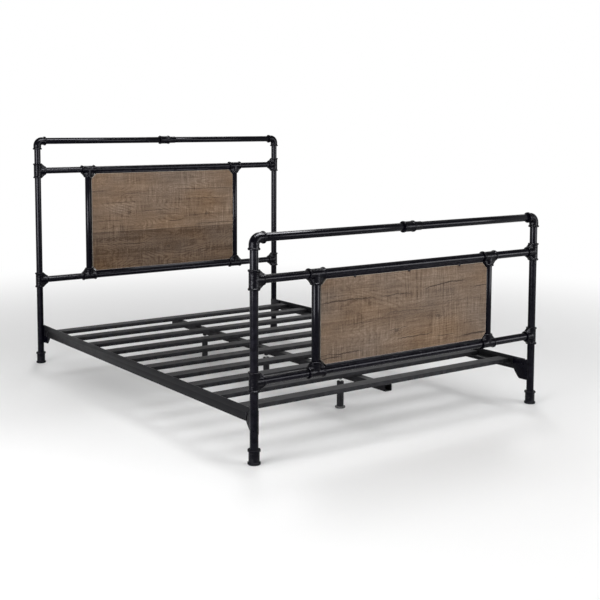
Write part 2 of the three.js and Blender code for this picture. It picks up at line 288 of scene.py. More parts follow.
# %% Set up the lamps and paint the sky
def add_lamp(name, kind, place, facing, **settings):
    """A lamp at place that shines from the direction facing towards the bed."""
    data = bpy.data.lights.new(name, kind)
    for key, value in settings.items():
        setattr(data, key, value)
    lamp = bpy.data.objects.new(name, data)
    lamp.location = place
    lamp.rotation_euler = Vector(facing).to_track_quat("Z", "Y").to_euler()
    lamp.visible_camera = False
    bpy.context.scene.collection.objects.link(lamp)
    return lamp


def soft_box(name, place, facing, width, height, power):
    return add_lamp(name, "AREA", place, facing, shape="RECTANGLE", size=width,
                    size_y=height, energy=power)


soft_box("right soft box", (3.3, -5.9, 1.0), (3.3, -5.9, 0), 4.6, 2.0, 430)
soft_box("left soft box", (-5.0, -1.7, 0.7), (-5.0, -1.7, 0), 3.0, 1.4, 390)
shine = soft_box("overhead shine", (-0.2, -1.5, 4.0), (0, 0, 1), 3.0, 1.6, 875)
shine.visible_diffuse = False
add_lamp("rear lamp", "SUN", (0, 0, 4), (0.45, 0.60, 0.66), energy=0.7,
         angle=math.radians(16))
add_lamp("overhead fill", "SUN", (0, 0, 5), (0, 0, 1), energy=1.15, angle=math.radians(90))

sky = bpy.data.worlds.new("studio sky")
sky.use_nodes = True
bpy.context.scene.world = sky
tree = sky.node_tree
tree.nodes.clear()
height = axis_of(signal(tree, "TexCoord", output="Generated"), "Z")
sky_colour = blend_colours(remap(height, 0.2, 0.6, smooth=True), grey(1.0), grey(0.2))
strength = remap(seen_or_mirrored(tree), 0.0, 1.0, 0.35, 1.0)
background = signal(tree, "Background", {"Color": sky_colour, "Strength": strength})
add_node(tree, "OutputWorld", {"Surface": background})
bpy.context.scene.view_settings.view_transform = "Standard"

# %% [markdown]
# ## Shared finish: powder coat
#
# Powder coat is sprayed on dry and baked, and it sets with a faint orange-peel skin. Two
# sizes of noise make that skin. The same noise varies the gloss a little, because the coat
# flowed better in some places than in others. The effect is a node group, so each black
# finish can use it with its own strength and scale.


# %% Build the powder coat group
def node_group(name, inputs, outputs, build):
    """A node group; build takes its inputs and gives its outputs, all as signals."""
    group = bpy.data.node_groups.new(name, "ShaderNodeTree")
    for label, kind in inputs.items():
        group.interface.new_socket(label, in_out="INPUT", socket_type="NodeSocket" + kind)
    for label in outputs:
        group.interface.new_socket(label, in_out="OUTPUT", socket_type="NodeSocketFloat")
    entry = group.nodes.new("NodeGroupInput").outputs
    results = build(*[Signal(entry[label]) for label in inputs])
    fill(group.nodes.new("NodeGroupOutput").inputs, dict(zip(outputs, results)))
    print(name, "gives", outputs)
    return group


def use_group(group, inputs):
    """Adds a group to the tree of its Place, and gives its outputs by name."""
    node = add_node(inputs["Place"].tree, "Group", inputs, node_tree=group)
    return {socket.name: Signal(socket) for socket in node.outputs}


def powder_coat_look(place, fineness):
    peel = noise(place, fineness, 2.0, 0.4)
    grit = noise(place, fineness * 3.7, 2.0, 0.6)
    cloud = noise(place, fineness * 0.035, 4.0, 0.6)
    return grit * 0.35 + peel, remap(cloud, 0.3, 0.7, -1.0, 1.0), cloud


powder_coat = node_group("powder_coat", {"Place": "Vector", "Fineness": "Float"},
                         ["Height", "Gloss change", "Cloud"], powder_coat_look)

# %% [markdown]
# ## Shared finish: rubbed edges and settled dust
#
# Paint is thinnest on a sharp edge, where hands and tools rub it, so edges turn a little
# paler and smoother. Cycles' Pointiness says how sharply the surface bends outwards at a
# point. Dust settles only on faces that look up, so the upward part of the surface's normal
# is the mask for it, broken up by noise.


# %% Build the wear group
def wear_look(place, patchiness):
    shape = add_node(place.tree, "NewGeometry").outputs
    sharp = remap(Signal(shape["Pointiness"]), 0.52, 0.60, smooth=True)
    facing_up = remap(axis_of(Signal(shape["Normal"]), "Z"), 0.55, 1.0, smooth=True)
    patches = noise(place, patchiness, 4.0, 0.65)
    return sharp * remap(patches, 0.42, 0.6), facing_up * remap(patches, 0.35, 0.75)


handling_wear = node_group("handling_wear", {"Place": "Vector", "Patchiness": "Float"},
                           ["Rubbed edge", "Dust"], wear_look)

# %% [markdown]
# ## The black finishes
#
# Each kind of steel piece carries its own black. The pipes are smooth and satin. The cast
# fittings show the lumps of the sand mould under their paint, and the feet, the coarsest
# castings, show them most. The flat rails are a little duller, and the slats, which nobody
# sees, are the dullest. One function makes them all, and each call gives what differs.

# %% Mix the black finishes
paint_shine, paint_tint, dust_colour = 0.065, (0.92, 0.92, 1.0, 1), (0.20, 0.19, 0.18, 1)
wear_scale, lump_scale = 38.0, 125.0


def new_material(name):
    """A material, its Principled shader's inputs and the place of a point on the piece."""
    material = bpy.data.materials.new(name)
    material.use_nodes = True
    tree = material.node_tree
    return (material, tree.nodes["Principled BSDF"].inputs,
            signal(tree, "TexCoord", output="Object"))


def black_finish(name, colour, roughness, fineness, relief, casting=0.0):
    """Black paint over steel; casting is the height of the mould's lumps, in metres."""
    material, shader, place = new_material(name)
    coat = use_group(powder_coat, {"Place": place, "Fineness": fineness})
    wear = use_group(handling_wear, {"Place": place, "Patchiness": wear_scale})
    lighter = (*[channel * 1.35 for channel in colour], 1)
    paler = (*[channel * 2.6 + 0.004 for channel in colour], 1)
    cloudy = blend_colours(remap(coat["Cloud"], 0.3, 0.7), (*colour, 1), lighter)
    rubbed = blend_colours(wear["Rubbed edge"] * 0.6, cloudy, paler)
    skin = bump(coat["Height"], relief)
    if casting:
        skin = bump(noise(place, lump_scale, 3.0, 0.55), casting, Normal=skin)
    fill(shader, {
        "Base Color": blend_colours(wear["Dust"] * 0.035, rubbed, dust_colour),
        "Roughness": wear["Dust"] * 0.06 + (coat["Gloss change"] * 0.05 + roughness),
        "Specular IOR Level": paint_shine, "Specular Tint": paint_tint, "Normal": skin})
    return material


pipe_black = black_finish("satin_black_pipe", (0.0010, 0.0009, 0.0020), 0.16, 900, 0.000003)
cast_black = black_finish("black_cast_fitting", (0.0010, 0.0009, 0.0018), 0.16, 700, 0.000006,
                          casting=0.0014)
foot_black = black_finish("black_cast_foot", (0.0010, 0.0009, 0.0018), 0.18, 700, 0.000006,
                          casting=0.0034)
rail_black = black_finish("black_flat_rail", (0.0045, 0.0045, 0.0050), 0.34, 800, 0.00002)
slat_black = black_finish("black_slat", (0.0060, 0.0060, 0.0066), 0.50, 750, 0.00003)
screw_black = black_finish("blackened_screw", (0.0060, 0.0058, 0.0056), 0.30, 1500, 0.00003)
print("finishes:", [m.name for m in bpy.data.materials])

# %% [markdown]
# ## Bare metal and plastic
#
# Each support leg turns on a zinc-plated screw, and its foot wears a moulded plastic pad.
# Zinc plate is a metal with a fine cloudy grain. The pad is matt and slightly pebbled.

# %% Mix the zinc and the plastic
zinc_plate, shader, place = new_material("zinc_plated_screw")
crystals = noise(place, 620.0, 5.0, 0.6)
fill(shader, {
    "Base Color": blend_colours(crystals, (0.36, 0.37, 0.39, 1), (0.62, 0.62, 0.60, 1)),
    "Roughness": remap(crystals, 0.3, 0.7, 0.24, 0.42),
    "Metallic": 1.0, "Normal": bump(crystals, 0.00004)})

pad_plastic, shader, place = new_material("moulded_pad")
pebbles = noise(place, 1400.0, 1.0, 0.4)
fill(shader, {
    "Base Color": blend_colours(noise(place, 60.0, 3.0), (0.010, 0.010, 0.010, 1),
                                (0.017, 0.017, 0.018, 1)),
    "Roughness": remap(pebbles, 0.3, 0.7, 0.5, 0.66), "Normal": bump(pebbles, 0.0001)})
print("zinc and plastic mixed")

# %% [markdown]
# ## Sawn board: grain and saw marks
#
# The panels look like rough-sawn oak. The fibres run along the bed's width, so their noise
# is drawn out along X. The figure, the long pointed loops of a plain-sawn board, is a slow
# noise cut into thin lines, as contour lines cut a hill. The saw crossed the fibres, so its
# marks are short upright scratches in uneven clusters, and small flecks finish the texture.
# The group gives a tone, for the colour, a height, for the bump, and a slow drift that turns
# some parts of the board greyer and others browner.


# %% Build the sawn board group
def weighted_sum(parts):
    """Adds (value - 0.5) * weight for each part, so that an even grey adds nothing."""
    first, *others = [(value - 0.5) * weight for value, weight in parts]
    return sum(others, first)


def sawn_board_look(place, saw_strength, figure_strength):
    fibres = streaks(place, (5, 40, 150), 6.0, 0.62)
    long_bands = streaks(place, (1.6, 6, 22), 3.0)
    blotches = streaks(place, (7, 7, 10), 4.0, 0.6)
    flecks = streaks(place, (120, 60, 190), 3.0, 0.7)
    scratches = streaks(place, (260, 30, 14), 4.0, 0.6)
    wide_marks = streaks(place, (95, 20, 8), 3.0, 0.55)
    clusters = remap(streaks(place, (9, 9, 14)), 0.42, 0.6, 0.2, 1.0)
    hill = streaks(place, (22, 5, 60), 3.0, 0.6) * 0.035 + streaks(place, (1.7, 3, 7.5), 1.5, 0.4)
    contours = (hill * 190.0).math("SINE")
    figure = remap(contours, -0.2, 1.0, smooth=True) * remap(blotches, 0.4, 0.62, 0.15, 1.0)
    saw_marks = clusters * saw_strength * weighted_sum([(scratches, 1.0), (wide_marks, 0.6)])
    texture = weighted_sum([(fibres, 0.75), (long_bands, 0.42), (blotches, 0.5), (flecks, 0.7)])
    tone = saw_marks + (texture - figure * figure_strength) + 0.5
    height = saw_marks + weighted_sum([(fibres, 0.4)])
    return tone, height, streaks(place, (2.6, 3, 5), 3.0)


sawn_board = node_group(
    "sawn_board", {"Place": "Vector", "Saw strength": "Float", "Figure strength": "Float"},
    ["Tone", "Height", "Drift"], sawn_board_look)

# %% [markdown]
# ## Sawn board: cracks and knots
#
# A drying crack is a thin dark line that follows the fibres and wanders a little. The group
# draws one such line between two places on the board, thickest in its middle. A knot is a
# dark spot with a few rings round it. Each board uses these groups as often as it has cracks
# and knots, each time with its own numbers.


# %% Build the crack and knot groups
def crack_look(place, left, right, height, rise, bow, width):
    along = (axis_of(place, "X") - left) / (right - left)
    swell = along * (1.0 - along) * 4.0
    wander = (streaks(place, (26, 1, 4), 4.0, 0.6) - 0.5) * 0.016
    line = height + wander + rise * (along - 0.5) + bow * swell
    thickness = (width * remap(swell, 0.0, 0.6)).math("MAXIMUM", 0.00001)
    off_line = abs(axis_of(place, "Z") - line) / thickness
    core = remap(off_line, 0.35, 1.0, 1.0, 0.0, smooth=True)
    return [core * remap(swell, 0.0, 0.15)]


def knot_look(place, x, height, size):
    across, upright = (axis_of(place, "X") - x) * 0.7, axis_of(place, "Z") - height
    radius = (across * across + upright * upright).math("SQRT")
    ragged = radius / size + (noise(place, 55.0, 3.0) - 0.5) * 0.9
    rings = (ragged * 9.0).math("SINE") * remap(ragged, 0.8, 3.2, 1.0, 0.0, smooth=True)
    return remap(ragged, 0.25, 1.0, 1.0, 0.0, smooth=True), rings


drying_crack = node_group(
    "drying_crack", {"Place": "Vector", "Left": "Float", "Right": "Float", "Height": "Float",
                     "Rise": "Float", "Bow": "Float", "Width": "Float"},
    ["Crack"], crack_look)
knot_spot = node_group(
    "knot_spot", {"Place": "Vector", "X": "Float", "Height": "Float", "Size": "Float"},
    ["Knot", "Rings"], knot_look)

# %% [markdown]
# ## The two wooden panels' finishes
#
# Both panels come from the same wood, but no two boards are alike: each has its own figure
# and richness of colour. Each is also given a lightness of its own, the footboard's lower than
# the headboard's. The headboard is printed as two planks, and its lower plank is darker, with a
# seam between them. Its cracks and the footboard's are listed as shares of the panel's width
# and height, and turned into places with the panel's own box.
# A crack's rise, bow and width and a knot's size are in millimetres.

# %% Mix the finish of each panel
wood_tones = ((0.02, (0.044, 0.028, 0.018, 1)), (0.5, (0.130, 0.092, 0.066, 1)),
              (0.98, (0.238, 0.184, 0.139, 1)))
crack_dark, seam_blur, lower_plank_darker = (0.014, 0.009, 0.006, 1), 0.001, 0.27


def panel_place(board, across, up):
    low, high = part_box(f"{board}_panel")
    return low.x + across * (high.x - low.x), low.z + up * (high.z - low.z)


def wood_colour(tone, drift, richness, lightness):
    """The ramp of the wood's tones, greyer or browner as the drift says."""
    ramp = add_node(tone.tree, "ValToRGB", {"Fac": tone})
    stops = ramp.color_ramp.elements
    stops.new(0.5)
    for stop, (position, colour) in zip(stops, wood_tones):
        stop.position, stop.color = position, colour
    saturation = remap(drift, 0.3, 0.7, richness - 0.2, richness + 0.2)
    return signal(tone.tree, "HueSaturation", {
        "Saturation": saturation, "Value": lightness, "Color": Signal(ramp.outputs[0])})


def panel_finish(board, cracks, knots, figure, richness, lightness, plank_seam=None):
    material, shader, place = new_material(f"sawn_board_{board}")
    shift = (0.37 * len(cracks), 0, 0.11)
    shifted = signal(place.tree, "Mapping", {"Vector": place, "Location": shift})
    look = use_group(sawn_board, {"Place": shifted, "Saw strength": 1.2,
                                  "Figure strength": figure})
    tone, dark = look["Tone"], 0.0
    for left, right, up, rise, bow, width in cracks:
        x_left, z = panel_place(board, left, up)
        x_right, _ = panel_place(board, right, up)
        crack = use_group(drying_crack, {
            "Place": place, "Left": x_left, "Right": x_right, "Height": z, "Rise": rise * mm,
            "Bow": bow * mm, "Width": width * mm})
        dark = crack["Crack"].math("MAXIMUM", dark)
    for across, up, size in knots:
        x, z = panel_place(board, across, up)
        knot = use_group(knot_spot, {"Place": place, "X": x, "Height": z, "Size": size * mm})
        dark = (knot["Knot"] * 0.55).math("MAXIMUM", dark)
        tone = knot["Rings"] * 0.07 + tone
    if plank_seam:
        _, seam = panel_place(board, 0, plank_seam)
        z = axis_of(place, "Z")
        lower = remap(z, seam - seam_blur, seam + seam_blur, 1.0, 0.0)
        tone = tone - lower * lower_plank_darker
        gap = remap(abs(z - seam), 0.0006, 0.0018, 0.8, 0.0, smooth=True)
        dark = gap.math("MAXIMUM", dark)
    wood = wood_colour(tone, look["Drift"], richness, lightness)
    fill(shader, {
        "Base Color": blend_colours(dark * 0.9, wood, crack_dark),
        "Roughness": remap(tone, 0.2, 0.8, 0.72, 0.62), "Specular IOR Level": 0.09,
        "Normal": bump(look["Height"] - dark * 1.4, 0.0007, Strength=0.7)})
    return material


board_finish = {
    "footboard": panel_finish("footboard", [
        (-0.03, 0.31, 0.706, 3, 6, 2.6), (0.33, 0.53, 0.716, 2, 1, 2.0),
        (0.58, 0.87, 0.765, 20, 9, 2.6), (0.91, 1.03, 0.708, 2, 0, 2.0),
        (0.36, 0.60, 0.50, -10, 2, 1.4), (0.43, 0.66, 0.172, 3, 1, 2.2),
        (0.67, 0.80, 0.128, 2, 0, 1.7), (0.83, 1.04, 0.095, 5, -2, 3.6),
        (0.07, 0.24, 0.096, 4, 1, 2.6), (-0.04, 0.12, 0.062, 5, 1, 2.6),
        (-0.04, 0.10, 0.10, -4, 2, 1.6), (0.38, 0.50, 0.30, 3, -1, 1.8),
        (0.16, 0.30, 0.43, 3, 1, 1.0), (0.73, 0.88, 0.55, -4, 1, 1.1)],
        [(0.685, 0.385, 12), (0.43, 0.275, 11)], figure=0.16, richness=1.08, lightness=0.75),
    "headboard": panel_finish("headboard", [
        (-0.02, 0.10, 0.815, 2, 1, 2.2), (0.20, 0.40, 0.775, -3, 2, 1.6),
        (0.57, 1.02, 0.800, -6, 3, 1.8), (0.05, 0.34, 0.690, 3, 1, 1.4),
        (0.62, 0.93, 0.698, -3, 2, 1.6), (0.30, 0.62, 0.590, 5, 2, 1.6),
        (0.52, 0.62, 0.470, 0, 0, 2.4), (0.66, 0.92, 0.520, 2, 2, 1.6),
        (0.02, 0.22, 0.500, -5, 3, 1.8), (0.70, 1.02, 0.420, 2, 1, 2.0),
        (0.08, 0.40, 0.250, -4, 1, 1.8), (0.58, 0.90, 0.130, 5, 2, 1.9)],
        [(0.25, 0.58, 11), (0.80, 0.53, 13), (0.52, 0.20, 12)], figure=0.22, richness=1.16,
        lightness=0.89, plank_seam=0.387),
}
print({board: material.name for board, material in board_finish.items()})

# %% [markdown]
# ## The panels' cut edge
#
# A panel is pressed board under a printed face. Where it was sawn to size its edge is paler,
# with short speckles of fibre.

# %% Mix the cut edge
cut_edge, shader, place = new_material("pale_cut_edge")
chips = streaks(place, (160, 700, 160), 4.0, 0.65)
fill(shader, {
    "Base Color": blend_colours(remap(chips, 0.3, 0.7), (0.12, 0.098, 0.08, 1),
                                (0.27, 0.24, 0.205, 1)),
    "Roughness": remap(chips, 0.3, 0.7, 0.9, 0.75), "Normal": bump(chips, 0.0003)})
print("cut edge mixed")

# %% [markdown]
# ## Modelling helpers
#
# An operator works on whatever is selected, so each step starts by clearing the selection.
# `finished` is the last step for every piece. It applies the piece's place, so that its
# origin is at the world's origin, smooths its round faces, gives it its finish and says
# which solid it stands for.


# %% Helpers that start and finish a piece
def clear_selection():
    if bpy.context.mode != "OBJECT":
        bpy.ops.object.mode_set(mode="OBJECT")
    bpy.ops.object.select_all(action="DESELECT")


def pick(*pieces):
    """Selects these pieces alone; the first is the active one."""
    clear_selection()
    for piece in pieces:
        piece.select_set(True)
    bpy.context.view_layer.objects.active = pieces[0]


def discard(*pieces):
    for piece in pieces:
        bpy.data.objects.remove(piece)


def apply_place(piece):
    pick(piece)
    bpy.ops.object.transform_apply(location=True, rotation=True, scale=True)
    return piece


def moved(piece, place=(0, 0, 0), turn=(0, 0, 0)):
    """Turns a piece, in degrees, and moves it to its place."""
    piece.rotation_euler = [math.radians(angle) for angle in turn]
    piece.location = place
    return apply_place(piece)


def copy_of(original, place=(0, 0, 0), turn=(0, 0, 0)):
    """A copy with a mesh of its own, turned and moved."""
    pick(original)
    bpy.ops.object.duplicate()
    return moved(bpy.context.object, place, turn)


def add_modifier(piece, kind, **settings):
    """Adds one modifier with its settings and applies it at once."""
    pick(piece)
    modifier = piece.modifiers.new(kind.lower(), kind)
    for key, value in settings.items():
        setattr(modifier, key, value)
    bpy.ops.object.modifier_apply(modifier=modifier.name)
    return piece


def bevelled(piece, width, segments=2, angle=50):
    """Bevels each edge that is sharper than an angle in degrees; the width is in millimetres."""
    return add_modifier(piece, "BEVEL", width=width * mm, segments=segments,
                        limit_method="ANGLE", angle_limit=math.radians(angle))


def block(size, centre=(0, 0, 0)):
    """A solid block of a size about a centre, in metres, for joining or carving."""
    clear_selection()
    bpy.ops.mesh.primitive_cube_add(size=1, location=centre)
    piece = bpy.context.object
    piece.scale = size
    return apply_place(piece)


def carve(piece, *tools, operation="DIFFERENCE"):
    for tool in tools:
        add_modifier(piece, "BOOLEAN", operation=operation, solver="EXACT", object=tool)
        discard(tool)
    return piece


def joined(*pieces):
    pick(*pieces)
    bpy.ops.object.join()
    return pieces[0]


def finished(piece, name, finish, slot, *nodes, body="frame", smooth=32):
    """Dresses a piece and says which body carries it and which solids it stands for."""
    apply_place(piece)
    bpy.ops.object.shade_smooth_by_angle(angle=math.radians(smooth))
    piece.name = piece.data.name = name
    if finish:
        piece.data.materials.clear()
        piece.data.materials.append(finish)
    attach(piece, body)
    if nodes:
        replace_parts(piece, *nodes)
    return piece


print("piece helpers ready")

# %% [markdown]
# ## Tracing and spinning
#
# A fitting is round, so it starts as half of its outline. The outline is drawn one point at a
# time, by extruding a single vertex from place to place. Spinning it about Z makes the body.
# The spin lays its last ring on its first, so those doubles are merged, and then all faces
# are turned outwards. Angles of an arc are in degrees, 0 towards the outside and 90 up.


# %% Helpers that trace and spin an outline
same_point, round_steps = 0.002 * mm, 48


def trace(points):
    """Draws (x, z) points, in millimetres, as one line and stays in edit mode."""
    clear_selection()
    bpy.ops.mesh.primitive_plane_add(size=mm, location=(0, 0, 0))
    bpy.ops.object.mode_set(mode="EDIT")
    bpy.ops.mesh.merge(type="CENTER")
    bpy.ops.transform.translate(value=(points[0][0] * mm, 0, points[0][1] * mm))
    for (x, z), (next_x, next_z) in zip(points, points[1:]):
        step = ((next_x - x) * mm, 0, (next_z - z) * mm)
        bpy.ops.mesh.extrude_vertices_move(TRANSFORM_OT_translate={"value": step})
    bpy.ops.mesh.select_all(action="SELECT")


def close_up():
    """Merges doubles, turns the faces outwards and leaves edit mode."""
    bpy.ops.mesh.select_all(action="SELECT")
    bpy.ops.mesh.remove_doubles(threshold=same_point)
    bpy.ops.mesh.normals_make_consistent(inside=False)
    bpy.ops.object.mode_set(mode="OBJECT")
    return bpy.context.object


def spun(points, steps=round_steps):
    """Spins (radius, z) points, in millimetres, into a round body about Z."""
    trace(points)
    bpy.ops.mesh.spin(steps=steps, angle=math.tau, center=(0, 0, 0), axis=(0, 0, 1))
    return close_up()


def arc(centre, radius, start, end, steps=5):
    """Points on part of a circle about an (x, z) centre."""
    angles = [math.radians(start + (end - start) * i / steps) for i in range(steps + 1)]
    return [(centre[0] + radius * math.cos(a), centre[1] + radius * math.sin(a)) for a in angles]


print("quarter circle:", [(round(x, 2), round(z, 2)) for x, z in arc((0, 0), 10, 0, 90, 2)])

# %% [markdown]
# ## Pipes
#
# A pipe is rolled and welded from strip, so it is a thin shell with open ends. An open
# cylinder gives its outside, Solidify thickens it inwards to the wall, and a small bevel
# breaks the sawn rims. One function makes it upright at the origin, and it is turned after
# that.

# %% A helper for pipes
wall = 1.5


def pipe(length):
    """An upright pipe about the origin; length in metres."""
    clear_selection()
    bpy.ops.mesh.primitive_cylinder_add(vertices=round_steps, radius=pipe_radius, depth=length,
                                        end_fill_type="NOTHING", location=(0, 0, 0))
    tube = add_modifier(bpy.context.object, "SOLIDIFY", thickness=wall * mm, offset=-1)
    return bevelled(tube, 0.3, angle=60)


def round_bar(radius, length, sections=round_steps):
    """A solid upright bar about the origin, for joining or carving; lengths in metres."""
    clear_selection()
    bpy.ops.mesh.primitive_cylinder_add(vertices=sections, radius=radius, depth=length,
                                        location=(0, 0, 0))
    return bpy.context.object


for board, side in board_sides:
    for part, turn in (("post", 0), ("top_rail", 90)):
        node = f"{board}_{part}_{side}"
        low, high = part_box(node)
        length = max(high - low)
        tube = moved(pipe(length), (low + high) / 2, (0, turn, 0))
        finished(tube, f"{board}_{side}_{part}", pipe_black, "black_pipe", node)
        print(node, round(length / mm, 1), "mm")

# %% [markdown]
# ## The bead of a fitting
#
# Every cast fitting ends in a raised bead, a rounded band that keeps the thin wall of the
# socket from splitting. Its outline leaves the body in a small hollow, turns over two rounded
# corners and ends in a chamfer at the bore. All fittings here share it, so it is one function
# that gives the outline from the body up to the bore. The other end of a fitting has the same
# bead upside down.

# %% The bead's outline
clearance, casting_wall, bead_rise, chamfer = 0.3, 3.7, 3.5, 0.8
bore = pipe_radius / mm + clearance
body = bore + casting_wall
bead = body + bead_rise


def bead_outline(end, body=body, bead=bead, width=8.0):
    """(radius, height) points from the body up to the bore, for a bead whose face is at end."""
    corner, hollow = 2.0, 1.3
    low = end - width
    return [
        *arc((body + hollow, low - hollow), hollow, 180, 90, 4),
        *arc((bead - corner, low + corner), corner, -90, 0, 4),
        *arc((bead - corner, end - corner), corner, 0, 90, 4),
        (bore + chamfer, end),
        (bore, end - chamfer),
    ]


def upside_down(points):
    """The same outline for the lower end, in the order that carries on from the bore."""
    return [(radius, -height) for radius, height in reversed(points)]


print("bead:", round(bead, 2), "mm radius;", len(bead_outline(31)), "points")

# %% [markdown]
# ## Couplings
#
# The two halves of a top rail meet inside a coupling. It has a bead at each end and is thicker
# between them than the other fittings are. A plain sleeve beside it slides over the joint
# when the rail is put together. The whole outline is spun in one go.

# %% Spin the coupling
half, sleeve, sleeve_length, sleeve_round = 31.0, bore + 1.6, 40.0, 0.6
thick_body = body + 1.3
outline = [
    *upside_down(bead_outline(half, thick_body)),
    *bead_outline(half, thick_body)[:-2],
    (sleeve, half),
    *arc((sleeve - sleeve_round, half + sleeve_length - sleeve_round), sleeve_round, 0, 90, 3),
    (bore, half + sleeve_length),
]
coupling = spun([*outline, outline[0]])
for board, layout in layouts.items():
    piece = copy_of(coupling, (0, layout["y"], layout["top"]), (0, 90, 0))
    finished(piece, f"{board}_coupling", cast_black, "black_fitting", f"{board}_top_coupling")
print("coupling:", len(coupling.data.polygons), "faces")
discard(coupling)

# %% [markdown]
# ## Feet
#
# Each leg stands in a deep cast cap. It has a wider bead at the floor and another at its
# mouth, and a flat sole. The leg sits on the cap's bottom.

# %% Spin the foot
foot_body, foot_bead, foot_height, sole = bore + 4.7, bore + 8.7, 60, 6.0
outline = [
    (0, 0.0),
    (foot_bead - 3.2, 0.0),
    *arc((foot_bead - 2.6, 2.6), 2.6, -70, 0, 4),
    *arc((foot_bead - 2.2, 7.4), 2.2, 0, 90, 4),
    *arc((foot_body + 1.6, 11.2), 1.6, -90, -180, 4),
    *bead_outline(foot_height, foot_body, foot_bead, 9.0),
    (bore, sole),
    (0, sole),
]
foot = spun(outline)
for board, side in board_sides:
    finished(copy_of(foot, leg_place(board, side)), f"{board}_{side}_foot", foot_black,
             "black_fitting", f"{board}_foot_{side}")
print("foot:", len(foot.data.polygons), "faces")
discard(foot)

# %% [markdown]
# ## Elbows
#
# An elbow is a bent socket. One ring of edges makes all of it. The ring starts at the lower
# mouth and is pushed upwards and resized for the bead, then spun round the bend, then pushed
# out along the rail for the second bead. The way back through the bore is the same journey
# with a smaller ring, and a bridge joins its end to the start.

# %% Push one ring through the elbow
reach, bend_radius, shoulder, bend_steps = 46.0, 26.0, 28.0, 12
tube_bore = pipe_radius / mm - wall
inwards = {"left": (0, 0, 0), "right": (0, 0, 180)}


def push_ring(stations, start, axis):
    """Extrudes the selected ring along an axis through (radius, distance) stations."""
    radius, distance = start
    for next_radius, next_distance in stations:
        step = [0, 0, 0]
        step[axis] = (next_distance - distance) * mm
        bpy.ops.mesh.extrude_region_move(TRANSFORM_OT_translate={"value": step})
        resize = [next_radius / radius] * 3
        resize[axis] = 1
        centre = [0, 0, 0]
        centre[axis] = next_distance * mm
        bpy.ops.transform.resize(value=resize, center_override=centre)
        radius, distance = next_radius, next_distance


def bend_ring(angle):
    """Spins the selected ring round the elbow's bend, by an angle in degrees."""
    bpy.ops.mesh.spin(steps=bend_steps, angle=math.radians(angle), axis=(0, 1, 0),
                      center=(bend_radius * mm, 0, -bend_radius * mm))


mouth = bead_outline(reach)
inner = [(bore, shoulder), (tube_bore, shoulder), (tube_bore, bend_radius)]
clear_selection()
bpy.ops.mesh.primitive_circle_add(vertices=round_steps, radius=mouth[-1][0] * mm,
                                  location=(0, 0, -mouth[-1][1] * mm))
apply_place(bpy.context.object)
bpy.ops.object.mode_set(mode="EDIT")
bpy.ops.mesh.select_all(action="SELECT")
down = [(radius, -distance) for radius, distance in reversed(mouth)]
push_ring([*down[1:], (body, -bend_radius)], down[0], 2)
bend_ring(-90)
push_ring([*mouth, *inner], (body, bend_radius), 0)
bend_ring(90)
back = [(radius, -distance) for radius, distance in reversed(inner)]
push_ring(back[1:], (tube_bore, -bend_radius), 2)
bpy.ops.mesh.select_all(action="DESELECT")
bpy.ops.mesh.select_mode(type="EDGE")
bpy.ops.mesh.select_non_manifold()
bpy.ops.mesh.bridge_edge_loops()
bpy.ops.mesh.select_mode(type="VERT")
elbow = close_up()
print("elbow:", [round(side / mm, 1) for side in elbow.dimensions], "mm")
for board, side in board_sides:
    piece = copy_of(elbow, leg_place(board, side, layouts[board]["top"]), inwards[side])
    finished(piece, f"{board}_{side}_elbow", cast_black, "black_fitting",
             f"{board}_elbow_{side}")
discard(elbow)

# %% [markdown]
# ## Tees
#
# A tee is cast in one piece: a straight run with two beads, a branch with a third, and a web
# that fills both corners between them. The three shapes are spun and traced, and united
# first. A voxel remesh with some smoothing then rounds every inner corner, as the sand mould
# does, and Decimate removes the faces that flat places don't need. The bores are carved last,
# so that they stay true. The run stands along Z, and the branch points along +X.


# %% Cast the tee
def plate(outline, thickness):
    """A flat plate from an (x, z) outline in millimetres, centred on y = 0."""
    trace([*outline, outline[0]])
    bpy.ops.mesh.remove_doubles(threshold=same_point)
    bpy.ops.mesh.edge_face_add()
    bpy.ops.mesh.extrude_region_move(TRANSFORM_OT_translate={"value": (0, thickness * mm, 0)})
    return moved(close_up(), (0, -thickness * mm / 2, 0))


half_run, branch_reach, web_thickness = 40.0, 44.0, 24
run_end = [*bead_outline(half_run)[:-2], (0, half_run)]
run = spun([*upside_down(run_end), *run_end])
branch = spun([(0, 0), (body, 0), *bead_outline(branch_reach)[:-2], (0, branch_reach)])
moved(branch, turn=(0, 90, 0))
foot_of_web, top_of_web, lip = half_run - 3, branch_reach - 4, body + 2.2
side_of_web = [(lip, foot_of_web), (top_of_web, lip)]
web = plate([(0, -foot_of_web), *[(x, -z) for x, z in side_of_web],
             *reversed(side_of_web), (0, foot_of_web)], web_thickness)
bevelled(web, 5, segments=3)
tee = carve(run, branch, web, operation="UNION")
add_modifier(tee, "REMESH", mode="VOXEL", voxel_size=1.1 * mm)
add_modifier(tee, "SMOOTH", factor=0.5, iterations=7)
add_modifier(tee, "DECIMATE", ratio=0.16)


def mouth_cutter(length):
    """A bore with a chamfered mouth at its upper end, upright."""
    return spun([(0, -2), (bore, -2), (bore, length - chamfer), (bore + chamfer, length),
                 (bore + chamfer, length + 2), (0, length + 2)])


run_bore = mouth_cutter(half_run)
carve(tee, copy_of(run_bore, turn=(180, 0, 0)), run_bore)
carve(tee, moved(mouth_cutter(branch_reach), turn=(0, 90, 0)))
print("tee:", len(tee.data.polygons), "faces")

# %% [markdown]
# ## Placing the tees
#
# Each board has eight tees of the same casting. Those on the legs keep their run upright and
# point their branch inwards. Those on the posts lie on their side, with the branch down at
# the middle rail and up at the low rail.

